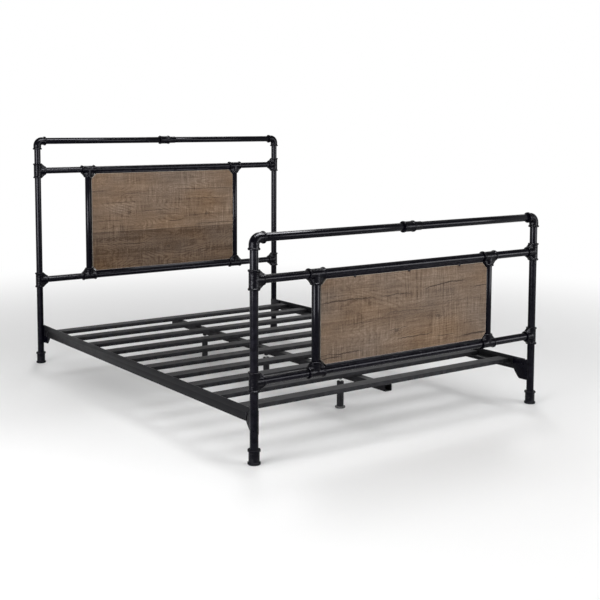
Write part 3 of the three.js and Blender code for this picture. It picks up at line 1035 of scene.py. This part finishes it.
# %% Place the tees
for board, side in board_sides:
    layout = layouts[board]
    for level in ("middle", "low"):
        piece = copy_of(tee, leg_place(board, side, layout[level]), inwards[side])
        finished(piece, f"{board}_{side}_{level}_tee", cast_black, "black_fitting",
                 f"{board}_{level}_tee_{side}")
    for name, level, turn in (("upper", "middle", 90), ("lower", "low", -90)):
        place = (sides[side] * layout["post_x"], layout["y"], layout[level])
        finished(copy_of(tee, place, (0, turn, 0)), f"{board}_{side}_{name}_post_tee",
                 cast_black, "black_fitting", f"{board}_post_tee_{name}_{side}")
discard(tee)
print("tees placed:", sum("tee" in o.name and "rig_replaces" in o for o in bpy.data.objects))

# %% [markdown]
# ## Weld beads
#
# Where steel is welded, the molten metal freezes in overlapping ripples. A bead of weld is a
# ring pushed along in short steps, each one swelling and shrinking, with closed ends. It is
# made once for a length and laid half sunk into the corner that it fills.


# %% A helper for weld beads
def weld_bead(length, radius):
    """An upright rippled bead from z = 0, lengths in millimetres."""
    start, crest, dip, tip, ripple = 0.5, 1.0, 0.78, 0.45, 3.0
    clear_selection()
    bpy.ops.mesh.primitive_circle_add(vertices=10, radius=radius * mm * start, fill_type="NGON")
    bpy.ops.object.mode_set(mode="EDIT")
    bpy.ops.mesh.select_all(action="SELECT")
    ripples = max(2, round(length / ripple))
    step, height, size = length / (2 * ripples), 0.0, start
    for next_size in [*[crest, dip] * (ripples - 1), crest, tip]:
        bpy.ops.mesh.extrude_region_move(TRANSFORM_OT_translate={"value": (0, 0, step * mm)})
        height += step
        bpy.ops.transform.resize(value=(next_size / size, next_size / size, 1),
                                 center_override=(0, 0, height * mm))
        size = next_size
    return close_up()


# %% [markdown]
# ## Screws
#
# The small screws have a low domed head with a cross recess. The head is spun, and two
# crossing bars cut the recess. One head is made at each size and copied to its places.


# %% A helper for screw heads
def screw_head(radius, height):
    """A domed head that stands on z = 0, in millimetres."""
    dome = arc((0, height - radius * 1.6), radius * 1.6, 58, 90, 6)
    edge = [(x, z) for x, z in dome if x < radius]
    head = spun([(0, -1.5), (radius * 0.5, -1.5), (radius * 0.5, 0), (radius, 0),
                 (radius, height * 0.35), *edge], 24)
    length, width, depth = radius * 0.99 * mm, radius * 0.242 * mm, height * 1.1 * mm
    for x_size, y_size in ((length, width), (width, length)):
        carve(head, block((x_size, y_size, depth), (0, 0, height * mm)))
    return head


# %% [markdown]
# ## Legs
#
# A leg is one long pipe with a thick bracket welded to its inner side. Two headed studs
# stand on the bracket, and the side rail's slots drop over them. The bracket's lower edge
# slopes up to a rounded corner. The bracket is drawn as an outline seen from the side, with
# the leg's axis at zero, and a block fills the corner between it and the pipe.

# %% Weld the legs together
rail_low, rail_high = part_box("side_rail_right")
leg_low, leg_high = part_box("footboard_leg_right")
foot_y = layouts["footboard"]["y"]
plate_thickness, bore_past = 6.0, 0.001
corner_weld_radius, corner_weld_out, edge_weld_radius, edge_weld_in = 1.7, 0.9, 2.2, 2.4
plate_inner = leg_low.x / mm
plate_reach = (leg_high.y - foot_y) / mm
plate_top = rail_high.z / mm - 2
plate_bottom = rail_low.z / mm - 38
stud_height = rail_low.z / mm + 30
stud_places = (40.0, 70.0)
shank = rail_high.x / mm + 0.3 - plate_inner


def bezier(start, corner, end):
    """Seven points on the curve that leaves start towards corner and bends to end."""
    return [tuple((1 - t) ** 2 * a + 2 * t * (1 - t) * b + t * t * c
                  for a, b, c in zip(start, corner, end)) for t in [i / 6 for i in range(7)]]


bracket = plate([
    (0, plate_bottom),
    *bezier((plate_reach - 40, plate_bottom), (plate_reach - 32, plate_bottom),
            (plate_reach, plate_top - 50)),
    *arc((plate_reach - 3, plate_top - 3), 3, 0, 90, 4),
    (0, plate_top),
], plate_thickness)
bevelled(bracket, 0.6)
stud = spun([(0, -0.8), (3.2, -0.8), (4, 0), (4, shank), (7.4, shank),
             *arc((7.4, shank + 0.6), 0.6, -90, 0, 3), *arc((6.2, shank + 0.7), 1.8, 0, 90, 4),
             (0, shank + 2.5)], 32)
corner_weld = weld_bead(plate_top - plate_bottom - 6, corner_weld_radius)
edge_weld = weld_bead(plate_top - plate_bottom - 4, edge_weld_radius)


def leg(board, side):
    """The pipe of a leg with its bracket, studs and welds, in its place."""
    sign, inward = sides[side], layouts[board]["inward"]
    x, y, _ = leg_place(board, side)
    low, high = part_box(f"{board}_leg_{side}")
    tube = moved(round_bar(pipe_radius, high.z - low.z), (x, y, (low.z + high.z) / 2))
    plate_x = sign * (plate_inner + plate_thickness / 2) * mm
    arm = copy_of(bracket, (plate_x, y, 0), (0, 0, 90 * inward))
    width = abs(x) - plate_inner * mm - 0.0002
    filler = block((width, pipe_radius, (plate_top - plate_bottom - 1) * mm),
                   (x - sign * width / 2, y + inward * pipe_radius / 2,
                    (plate_top + plate_bottom) / 2 * mm))
    inside = moved(round_bar(pipe_radius - wall * mm, high.z), (x, y, high.z / 2 + bore_past))
    whole = carve(tube, arm, filler, operation="UNION")
    carve(whole, inside)
    extras = [copy_of(stud, (sign * plate_inner * mm, y + inward * place * mm,
                             stud_height * mm), (0, 90 * sign, 0)) for place in stud_places]
    corner_x = sign * (plate_inner + plate_thickness + corner_weld_out) * mm
    corner_y = y + inward * (pipe_radius + corner_weld_out * mm)
    extras.append(copy_of(corner_weld, (corner_x, corner_y, (plate_bottom + 3) * mm)))
    edge_x, edge_y = sign * (plate_inner + edge_weld_in) * mm, y - inward * 0.6 * mm
    extras.append(copy_of(edge_weld, (edge_x, edge_y, (plate_bottom + 2) * mm)))
    return joined(whole, *extras)


for board, side in board_sides:
    piece = finished(leg(board, side), f"{board}_{side}_leg", pipe_black, "black_pipe",
                     f"{board}_leg_{side}")
    print(piece.name, len(piece.data.polygons), "faces")
discard(bracket, stud, corner_weld, edge_weld)

# %% [markdown]
# ## Rails with a flat bar
#
# A flat bar is welded along the top of the low rail, and the panel stands on it. A thinner
# one along the underside of the middle rail holds the panel's upper edge. Bar and pipe are
# united and then bored, and short stitches of weld hold the bar at both sides, because one
# long bead would warp the pipe.


# %% Weld the flat bars to their rails
bar_depth, bar_gap, stitch_count, stitch_length = 20.0, 4.0, 6, 24.0
weld_out, weld_up = 10.2, 13.8


def barred_rail(node, axis, edge, bar_length):
    """The pipe of a rail, with a flat bar from its axis up or down to the height edge."""
    low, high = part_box(node)
    rail = moved(round_bar(pipe_radius, high.x - low.x), axis, (0, 90, 0))
    bar = block((bar_length, bar_depth * mm, abs(edge - axis[2])),
                (0, axis[1], (edge + axis[2]) / 2))
    carve(rail, bevelled(bar, 0.9, segments=3, angle=30), operation="UNION")
    inside = round_bar(pipe_radius - wall * mm, high.x - low.x + 0.01)
    carve(rail, moved(inside, axis, (0, 90, 0)))
    stitch_z = axis[2] + math.copysign(weld_up * mm, edge - axis[2])
    stitches = []
    for face in (-1, 1):
        for i in range(stitch_count):
            centre = (i - (stitch_count - 1) / 2) * bar_length / (stitch_count + 0.4)
            place = (centre - stitch_length / 2 * mm, axis[1] + face * weld_out * mm, stitch_z)
            stitches.append(copy_of(stitch, place))
    return joined(rail, *stitches)


stitch = moved(weld_bead(stitch_length, 1.5), turn=(0, 90, 0))
rails = {}
for board, layout in layouts.items():
    bar_length = 2 * (layout["post_x"] - (half_run + bar_gap) * mm)
    for level, edge in (("low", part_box(f"{board}_low_rail")[1].z),
                        ("middle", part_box(f"{board}_middle_rail")[0].z)):
        node = f"{board}_{level}_rail"
        axis = (0, layout["y"], layout[level])
        rails[node] = barred_rail(node, axis, edge, bar_length)
        print(node, len(rails[node].data.polygons), "faces")
discard(stitch)

# %% [markdown]
# ## What holds the panels
#
# Two screws with domed heads go through the outer side of the lower bar, the side away from
# the mattress. From the upper bar three short tabs with a round end lap over the panel's
# outer face, each with a smaller screw, so the panel can't tip out. The tabs are welded on, so
# they are joined to their rail. They are modelled for the footboard, and a half turn about Z
# puts them on the headboard's outer side.

# %% Add the tabs and the screws
tab_radius, tab_thickness, tab_out = 5, 1.4, 10.6
tab_spacing, tab_above, ledge_screw_x, ledge_screw_drop = 0.296, 3, 0.145, 4.8
tab = moved(plate([(-tab_radius, 0), *arc((0, -tab_radius), tab_radius, 180, 360, 8),
                   (tab_radius, 0)], tab_thickness), (0, -tab_out * mm, 0))
bevelled(tab, 0.3)
tab_screw_place = (0, -(tab_out + tab_thickness / 2) * mm, -tab_radius * mm)
tab_screw = moved(screw_head(2.4, 1.3), tab_screw_place, (90, 0, 0))
ledge_screw = moved(screw_head(3.2, 1.6), (0, -bar_depth / 2 * mm, 0), (90, 0, 0))
for board, layout in layouts.items():
    low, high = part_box(f"{board}_panel")
    turn = (0, 0, 0 if layout["inward"] > 0 else 180)
    tabs = []
    for i in (-1, 0, 1):
        place = (tab_spacing * i, layout["y"], high.z + tab_above * mm)
        tabs.append(copy_of(tab, place, turn))
        finished(copy_of(tab_screw, place, turn), f"{board}_tab_screw_{i + 2}", screw_black,
                 "black_fitting")
    joined(rails[f"{board}_middle_rail"], *tabs)
    for side, sign in sides.items():
        place = (ledge_screw_x * sign, layout["y"], low.z - ledge_screw_drop * mm)
        finished(copy_of(ledge_screw, place, turn), f"{board}_ledge_screw_{side}",
                 screw_black, "black_fitting")
for node, rail in rails.items():
    finished(rail, f"{node}_pipe", pipe_black, "black_pipe", node)
discard(tab, tab_screw, ledge_screw)

# %% [markdown]
# ## Wooden panels
#
# A panel is a block with its four corners cut off, so that it clears the castings. A bevel
# of one step on the edges that go through the board does the cutting, a little less at the
# lower corners. A narrow rounded bevel round both faces then lets the pale edge of the board
# show as a thin line. Faces that look forwards or backwards get the sawn finish, and all
# others the cut edge.


# %% Saw the panels
upper_cut, lower_cut, rim_width = 28.5, 24.6, 1.8


def select_edges(piece, chosen):
    """Selects in edit mode the edges for which chosen(edge's two points) is true."""
    points = [v.co.copy() for v in piece.data.vertices]
    marks = [chosen(points[e.vertices[0]], points[e.vertices[1]]) for e in piece.data.edges]
    bpy.ops.object.mode_set(mode="EDIT")
    bpy.ops.mesh.select_mode(type="EDGE")
    bpy.ops.mesh.select_all(action="DESELECT")
    bpy.ops.object.mode_set(mode="OBJECT")
    for edge, mark in zip(piece.data.edges, marks):
        edge.select = mark
    bpy.ops.object.mode_set(mode="EDIT")
    return sum(marks)


def bevel_edges(piece, chosen, width, segments):
    """Bevels the chosen edges, by a width in millimetres, and gives their number."""
    count = select_edges(piece, chosen)
    bpy.ops.mesh.bevel(offset=width * mm, segments=segments, affect="EDGES")
    bpy.ops.object.mode_set(mode="OBJECT")
    return count


for board in layouts:
    low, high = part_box(f"{board}_panel")
    panel = block(high - low, (low + high) / 2)
    middle_height, corners = (low.z + high.z) / 2, 0
    for upper, cut in ((True, upper_cut), (False, lower_cut)):
        corners += bevel_edges(
            panel, lambda a, b: abs(a.y - b.y) > 5 * mm and (a.z > middle_height) == upper,
            cut, 1)
    rims = bevel_edges(panel, lambda a, b: abs(a.y - b.y) < 0.1 * mm, rim_width, 2)
    bpy.ops.object.mode_set(mode="EDIT")
    bpy.ops.mesh.select_mode(type="VERT")
    bpy.ops.object.mode_set(mode="OBJECT")
    panel.data.materials.append(board_finish[board])
    panel.data.materials.append(cut_edge)
    for face in panel.data.polygons:
        face.material_index = 0 if abs(face.normal.y) > 0.99 else 1
    finished(panel, f"{board}_wood_panel", None, "sawn_wood", f"{board}_panel", smooth=20)
    print(board, "panel:", corners, "corners cut,", rims, "rim edges bevelled")

# %% [markdown]
# ## Side rails
#
# A side rail is a flat steel bar on edge. Near each end it has two slots, open at the bottom
# and round at the top, that drop over the studs of the leg. Bar and slots are cut from sheet
# in one go, so the slots are part of the outline here too. A ledge for the slats is welded to
# the inner face, with short stitches of weld on its underside.

# %% Cut the side rails
rail_thickness, ledge_thickness, corner_round = 3.0, 3.0, 3
stitch_length, stitch_step, ledge_past_slat, slat_gap, slot_radius = 30, 0.24, 21, 0.3, 4.3
rail_half = rail_high.y / mm
rail_bottom, rail_top = rail_low.z / mm, rail_high.z / mm
slot_places = [-foot_y / mm - place for place in stud_places]


def slot_outline(centre):
    """Up one side of a slot, round its end and down the other."""
    left, right = centre - slot_radius, centre + slot_radius
    return [(left - 1.2, rail_bottom), (left, rail_bottom + 2),
            *arc((centre, stud_height), slot_radius, 180, 0, 12),
            (right, rail_bottom + 2), (right + 1.2, rail_bottom)]


left, right = -rail_half + corner_round, rail_half - corner_round
bottom, top = rail_bottom + corner_round, rail_top - corner_round
slots = [slot_outline(centre) for centre in sorted([*slot_places, *[-s for s in slot_places]])]
web = plate([
    *arc((left, bottom), corner_round, 180, 270), *[point for slot in slots for point in slot],
    *arc((right, bottom), corner_round, 270, 360), *arc((right, top), corner_round, 0, 90),
    *arc((left, top), corner_round, 90, 180),
], rail_thickness)
moved(bevelled(web, 0.5), turn=(0, 0, 90))
web_x = rail_high.x - rail_thickness / 2 * mm
slat_low, slat_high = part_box("slat_1")
ledge_top = slat_low.z / mm - slat_gap
ledge_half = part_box("slat_10")[1].y / mm + ledge_past_slat
ledge_x = (rail_low.x + web_x) / 2
stitch = moved(weld_bead(stitch_length, 1.6), turn=(90, 0, 0))
stitch_z = (ledge_top - ledge_thickness - 0.5) * mm
for side, sign in sides.items():
    rail = copy_of(web, (sign * web_x, 0, 0))
    ledge = block((web_x - rail_low.x, 2 * ledge_half * mm, ledge_thickness * mm),
                  (sign * ledge_x, 0, (ledge_top - ledge_thickness / 2) * mm))
    carve(rail, bevelled(ledge, 0.5, angle=30), operation="UNION")
    stitch_x = sign * (web_x - (rail_thickness / 2 + 0.5) * mm)
    stitches = [copy_of(stitch, (stitch_x, (i - 3.5) * stitch_step + stitch_length / 2 * mm,
                                 stitch_z)) for i in range(8)]
    rail = finished(joined(rail, *stitches), f"{side}_side_rail", rail_black, "black_rail",
                    f"side_rail_{side}")
    print(rail.name, len(rail.data.polygons), "faces")
discard(web, stitch)

# %% [markdown]
# ## Slats
#
# A slat is a strip of thin steel folded into a channel that lies open side down, because the
# folded edges are what keep it from sagging. The folds are rounded, as a press leaves them.
# Its section is drawn with both faces of the sheet and pushed along its length. One is made,
# and each of the ten is a copy. A screw with a domed head holds each end to the ledge.

# %% Fold the slats
slat_half, slat_depth, sheet, fold = 32.0, (slat_high.z - slat_low.z) / mm, 1.2, 2.4
slat_screw_x = 0.75
outside = [(slat_half, 0), *arc((slat_half - fold, slat_depth - fold), fold, 0, 90, 5),
           *arc((-slat_half + fold, slat_depth - fold), fold, 90, 180, 5), (-slat_half, 0)]
inner_fold = fold - sheet
inside = [(-slat_half + sheet, 0),
          *arc((-slat_half + fold, slat_depth - fold), inner_fold, 180, 90, 5),
          *arc((slat_half - fold, slat_depth - fold), inner_fold, 90, 0, 5),
          (slat_half - sheet, 0)]
slat = plate([*outside, *inside], (slat_high.x - slat_low.x) / mm)
moved(bevelled(slat, 0.25, segments=1, angle=60), turn=(0, 0, 90))
slat_screw = screw_head(5.0, 2.2)
screws = []
for i in range(10):
    low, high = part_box(f"slat_{i + 1}")
    y = (low.y + high.y) / 2
    finished(copy_of(slat, (0, y, low.z)), f"steel_slat_{i + 1}", slat_black, "black_slat",
             f"slat_{i + 1}")
    screws += [copy_of(slat_screw, (x, y, high.z)) for x in (-slat_screw_x, slat_screw_x)]
print("slat:", len(slat.data.polygons), "faces;", len(screws), "screws")
finished(joined(*screws), "slat_screws", screw_black, "black_fitting")
discard(slat, slat_screw)

# %% [markdown]
# ## Centre beam
#
# A rectangular tube with rounded corners runs under the middle of the slats. It is one
# outline less a smaller one. A hexagonal nut is welded under it for each support leg. The nut
# starts as a six-sided bar, and its lower corners are turned off by keeping only what also
# lies inside a spun cone.


# %% Make the beam and its nuts
beam_half, beam_depth, beam_wall, beam_round = 20, 30, 1.5, 3
nut_radius, nut_height, nut_bore_radius = 11, 12.5, 5.3


def rounded_rectangle(left, bottom, right, top, radius):
    places = ((right, bottom, -90), (right, top, 0), (left, top, 90), (left, bottom, 180))
    points = []
    for x, z, start in places:
        centre = (x - math.copysign(radius, x - (left + right) / 2),
                  z - math.copysign(radius, z - (bottom + top) / 2))
        points += arc(centre, radius, start, start + 90, 4)
    return points


beam_low, beam_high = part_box("centre_beam")
leg_places = [middle(f"support_leg_{i}").y for i in (1, 2, 3)]
nut_low, beam_top = beam_low.z / mm, beam_high.z / mm
beam_bottom, beam_length = beam_top - beam_depth, (beam_high.y - beam_low.y) / mm
beam = plate(rounded_rectangle(-beam_half, beam_bottom, beam_half, beam_top, beam_round),
             beam_length)
hollow_half = beam_half - beam_wall
hollow = plate(rounded_rectangle(-hollow_half, beam_bottom + beam_wall, hollow_half,
                                 beam_top - beam_wall, beam_round - beam_wall),
               beam_length + 10)
carve(beam, hollow)
nut = moved(round_bar(nut_radius * mm, nut_height * mm, 6),
            (0, 0, (nut_low + nut_height / 2) * mm))
turned = spun([(0, nut_low), (9.4, nut_low), (11.4, nut_low + 1.3), (11.4, nut_low + 14),
               (0, nut_low + 14)])
carve(nut, turned, operation="INTERSECT")
nut_bore = spun([(0, nut_low - 1), (nut_bore_radius + 1, nut_low - 1),
                 (nut_bore_radius + 1, nut_low), (nut_bore_radius, nut_low + 1),
                 (nut_bore_radius, beam_bottom + 2.5), (0, beam_bottom + 2.5)], 24)
nut_weld = moved(weld_bead(9, 1.5), (4.5 * mm, 9.9 * mm, (beam_bottom - 0.5) * mm), (0, -90, 0))
carve(beam, *[copy_of(nut_bore, (0, y, 0)) for y in leg_places])
nuts, welds = [], []
for y in leg_places:
    nuts.append(carve(copy_of(nut, (0, y, 0)), copy_of(nut_bore, (0, y, 0))))
    welds += [moved(copy_of(nut_weld, turn=(0, 0, turn)), (0, y, 0))
              for turn in range(30, 390, 60)]
beam = finished(joined(beam, *nuts, *welds), "middle_beam", rail_black, "black_rail",
                "centre_beam")
print("beam:", len(beam.data.polygons), "faces; nuts at", [round(y, 3) for y in leg_places])
discard(nut, nut_bore, nut_weld)

# %% [markdown]
# ## Support legs
#
# Each support leg is a short tube on a moulded pad, with a zinc-plated screw on top that goes
# up into its nut. Turning the leg raises or lowers it, so each is its own moving piece. The
# thread is a small triangle that the Screw modifier winds up round a plain core, with its two
# ends filled.

# %% Wind the thread and stand up the legs
screw_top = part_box("support_leg_1")[1].z / mm
tube_top, tube_radius, tube_bore = 125.0, 16, 14.5
pitch, crest, root = 1.5, 5.0, 4.1
core = spun([(0, tube_top - 1), (root, tube_top - 1), (root, screw_top - 0.7),
             (root - 0.7, screw_top), (0, screw_top)], 24)
trace([(root - 0.3, 0), (crest, pitch / 2 - 0.12), (crest, pitch / 2 + 0.12),
       (root - 0.3, pitch - 0.1), (root - 0.3, 0)])
bpy.ops.mesh.remove_doubles(threshold=same_point)
bpy.ops.object.mode_set(mode="OBJECT")
thread = bpy.context.object
turns = int((screw_top - tube_top) / pitch) - 1
add_modifier(thread, "SCREW", angle=math.tau, screw_offset=pitch * mm, iterations=turns,
             steps=24, axis="Z", use_merge_vertices=False)
pick(thread)
bpy.ops.object.mode_set(mode="EDIT")
bpy.ops.mesh.select_all(action="SELECT")
bpy.ops.mesh.fill_holes(sides=6)
thread = moved(close_up(), (0, 0, (tube_top + 0.3) * mm))
screw = joined(core, thread)
screw.data.materials.append(zinc_plate)
tube = spun([(tube_bore, 7.0), (tube_radius, 7.0),
             *arc((tube_radius - 1.2, tube_top - 1.2), 1.2, 0, 90, 4), (4.5, tube_top),
             (4.5, tube_top - 1.5), (tube_bore, tube_top - 1.5), (tube_bore, 7.0)])
tube.data.materials.append(slat_black)
pad = spun([(4, 0.6), (4.6, 0), (21.5, 0), *arc((22, 2), 2, -70, 0, 4), (24, 4.2),
            *arc((21.8, 5.8), 2.2, 0, 90, 4), (17.0, 8), (16.6, 7.2), (14, 7.2), (14, 6.8),
            (4, 6.8), (4, 0.6)])
pad.data.materials.append(pad_plastic)
support = joined(tube, pad, screw)
for i, y in enumerate(leg_places, 1):
    piece = finished(copy_of(support, (0, y, 0)), f"screw_in_leg_{i}", None, "support_leg",
                     f"support_leg_{i}", body=f"support_leg_{i}")
    print(piece.name, len(piece.data.polygons), "faces,", turns, "turns of thread")
discard(support)
